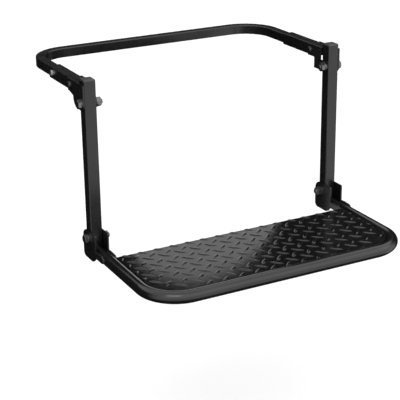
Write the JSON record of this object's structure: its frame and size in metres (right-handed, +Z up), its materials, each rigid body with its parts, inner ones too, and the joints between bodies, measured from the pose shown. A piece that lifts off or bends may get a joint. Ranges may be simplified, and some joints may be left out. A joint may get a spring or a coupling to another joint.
{
  "type": "folding tyre step",
  "caption": "Folding step that hangs on a wheel: a hook over the tyre, side posts and a treaded platform that folds up.",
  "frame": {"origin": "middle of the seat on the tyre: midway between the two arms, level with their undersides, and midway between the rear faces of the posts and the front face of the hook bar", "axes": "+X to the right as seen by a person facing the wheel, +Y away from that person towards the inner side of the tyre, +Z up"},
  "size_m": [0.6164, 0.6367, 0.3793],
  "materials": {
    "frame_black": "gloss black powder coat",
    "hook_black": "gloss black powder coat",
    "plate_black": "gloss black powder coat",
    "tube_black": "gloss black powder coat",
    "tread_black": "gloss black powder coat on patterned sheet",
    "bolt_black": "black oxide, a little worn",
    "screw_steel": "bright zinc",
    "cap_plastic": "satin black plastic"
  },
  "bodies": {
    "hook": {"left_arm_sleeve": "hook_black", "right_arm_sleeve": "hook_black", "left_outer_ear": "plate_black", "left_inner_ear": "plate_black", "right_outer_ear": "plate_black", "right_inner_ear": "plate_black", "arm_rivets": "bolt_black", "lock_screws": "screw_steel"},
    "hook_bar": {"hook_bar": "hook_black"},
    "posts": {"left_post": "frame_black", "right_post": "frame_black", "post_caps": "cap_plastic", "upper_pivot_bolts": "bolt_black", "upper_pivot_washers": "bolt_black", "upper_pivot_nuts": "bolt_black", "lower_pivot_bolts": "bolt_black", "lower_pivot_washers": "bolt_black", "lower_pivot_nuts": "bolt_black"},
    "platform": {"platform_frame": "tube_black", "tread_plate": "tread_black", "left_outer_bracket": "plate_black", "left_inner_bracket": "plate_black", "right_outer_bracket": "plate_black", "right_inner_bracket": "plate_black"}
  },
  "joints": [
    {"name": "arm_slide", "type": "slide", "parent": "hook", "child": "hook_bar", "axis": [0, 1, 0], "range_m": [-0.045, 0.03]},
    {"name": "hook_fold", "type": "hinge", "parent": "hook", "child": "posts", "pos_m": [0, -0.1595, -0.0133], "axis": [1, 0, 0], "range_deg": [0, 85]},
    {"name": "platform_fold", "type": "hinge", "parent": "posts", "child": "platform", "pos_m": [0, -0.1595, -0.299], "axis": [-1, 0, 0], "range_deg": [0, 90]}
  ]
}
